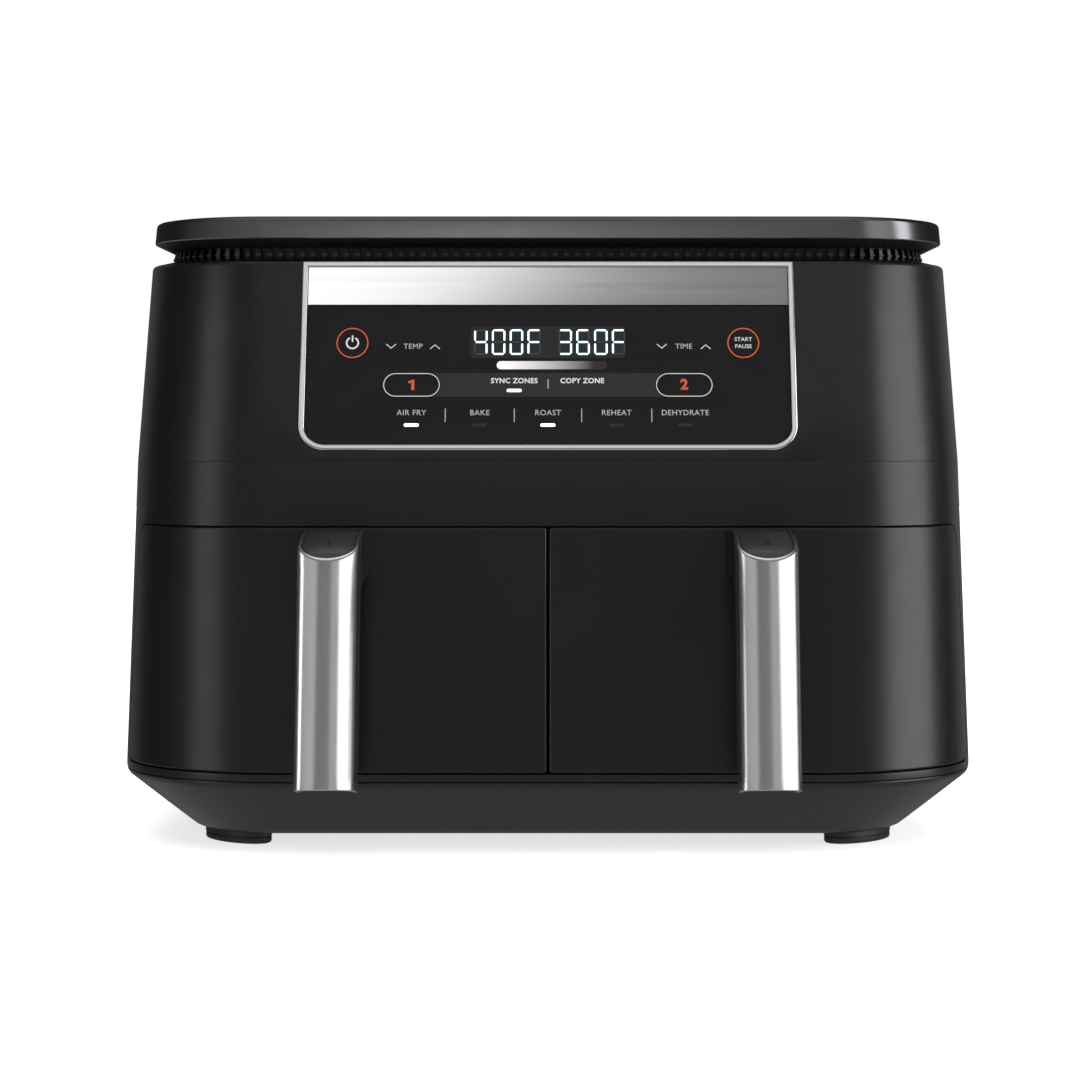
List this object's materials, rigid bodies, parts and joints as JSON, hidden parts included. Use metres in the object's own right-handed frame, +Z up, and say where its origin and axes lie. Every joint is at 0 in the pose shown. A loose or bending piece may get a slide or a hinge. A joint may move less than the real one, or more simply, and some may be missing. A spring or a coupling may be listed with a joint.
{
  "type": "countertop air fryer",
  "caption": "Countertop air fryer: rounded housing with a sloping touch-key panel and side-by-side pull-out basket drawers, each with a heater, a fan and a lift-out plate.",
  "frame": {"origin": "on the table, under the centre of the whole object's box", "axes": "+X to the right of someone facing the front, -Y out of the front, +Z up"},
  "size_m": [0.416, 0.3499, 0.305],
  "materials": {
    "satin_black": "satin moulded",
    "gloss_black": "polished black panel",
    "grey_gloss": "dark grey gloss",
    "dark_plastic": "fine matte",
    "brushed_steel": "brushed along its length",
    "chrome": "bright plated",
    "nonstick": "speckled nonstick coating",
    "liner": "plain pressed sheet",
    "heater": "heat-darkened tube",
    "fan": "plain pressed",
    "board": "lacquered circuit board",
    "rubber": "moulded rubber"
  },
  "bodies": {
    "housing": {"base_pan": "satin_black", "lower_shell": "satin_black", "upper_shell": "satin_black", "vent_ring": "dark_plastic", "top_lid": "grey_gloss", "bay_frame": "dark_plastic", "cord_gland": "rubber", "panel_bezel": "chrome", "steel_strip": "brushed_steel", "panel_lens": "gloss_black", "display_window": "gloss_black", "panel_carrier": "dark_plastic", "display_board": "board", "power_board": "board", "chassis_deck": "dark_plastic", "foot_front_left": "rubber", "foot_front_right": "rubber", "foot_back_left": "rubber", "foot_back_right": "rubber", "chamber_liner_left": "liner", "chamber_liner_right": "liner", "heater_guard_left": "liner", "heater_guard_right": "liner", "heater_coil_left": "heater", "heater_coil_right": "heater", "motor_left": "liner", "motor_right": "liner", "motor_bracket_left": "liner", "motor_bracket_right": "liner", "exhaust_duct_left": "liner", "exhaust_duct_right": "liner", "exhaust_grille_left": "satin_black", "exhaust_grille_right": "satin_black", "drawer_switch_left": "dark_plastic", "drawer_switch_right": "dark_plastic"},
    "drawer_left": {"drawer_front_left": "satin_black", "drawer_back_plate_left": "dark_plastic", "basket_left": "nonstick", "handle_cover_left": "brushed_steel", "handle_core_left": "dark_plastic", "handle_cap_left": "grey_gloss"},
    "crisper_left": {"crisper_plate_left": "nonstick"},
    "fans_left": {"hot_air_fan_left": "fan", "cooling_fan_left": "dark_plastic", "motor_shaft_left": "fan"},
    "drawer_right": {"drawer_front_right": "satin_black", "drawer_back_plate_right": "dark_plastic", "basket_right": "nonstick", "handle_cover_right": "brushed_steel", "handle_core_right": "dark_plastic", "handle_cap_right": "grey_gloss"},
    "crisper_right": {"crisper_plate_right": "nonstick"},
    "fans_right": {"hot_air_fan_right": "fan", "cooling_fan_right": "dark_plastic", "motor_shaft_right": "fan"},
    "power_button": {"power_key": "gloss_black"},
    "start_button": {"start_key": "gloss_black"},
    "zone_1_button": {"zone_1_key": "gloss_black"},
    "zone_2_button": {"zone_2_key": "gloss_black"}
  },
  "joints": [
    {"name": "drawer_left_slide", "type": "slide", "parent": "housing", "child": "drawer_left", "axis": [0, -1, 0], "range_m": [0, 0.25]},
    {"name": "crisper_left_lift", "type": "slide", "parent": "drawer_left", "child": "crisper_left", "axis": [0, 0, 1], "range_m": [0, 0.095]},
    {"name": "fans_left_spin", "type": "hinge", "parent": "housing", "child": "fans_left", "pos_m": [-0.1, 0.03, 0.2], "axis": [0, 0, 1], "continuous": true},
    {"name": "drawer_right_slide", "type": "slide", "parent": "housing", "child": "drawer_right", "axis": [0, -1, 0], "range_m": [0, 0.25]},
    {"name": "crisper_right_lift", "type": "slide", "parent": "drawer_right", "child": "crisper_right", "axis": [0, 0, 1], "range_m": [0, 0.095]},
    {"name": "fans_right_spin", "type": "hinge", "parent": "housing", "child": "fans_right", "pos_m": [0.1, 0.03, 0.2], "axis": [0, 0, 1], "continuous": true},
    {"name": "power_press", "type": "slide", "parent": "housing", "child": "power_button", "axis": [0, 0.9563, -0.2924], "range_m": [0, 0.0008], "stiffness_N_per_m": 600, "springref_m": -0.0005},
    {"name": "start_press", "type": "slide", "parent": "housing", "child": "start_button", "axis": [0, 0.9563, -0.2924], "range_m": [0, 0.0008], "stiffness_N_per_m": 600, "springref_m": -0.0005},
    {"name": "zone_1_press", "type": "slide", "parent": "housing", "child": "zone_1_button", "axis": [0, 0.9563, -0.2924], "range_m": [0, 0.0008], "stiffness_N_per_m": 600, "springref_m": -0.0005},
    {"name": "zone_2_press", "type": "slide", "parent": "housing", "child": "zone_2_button", "axis": [0, 0.9563, -0.2924], "range_m": [0, 0.0008], "stiffness_N_per_m": 600, "springref_m": -0.0005}
  ]
}
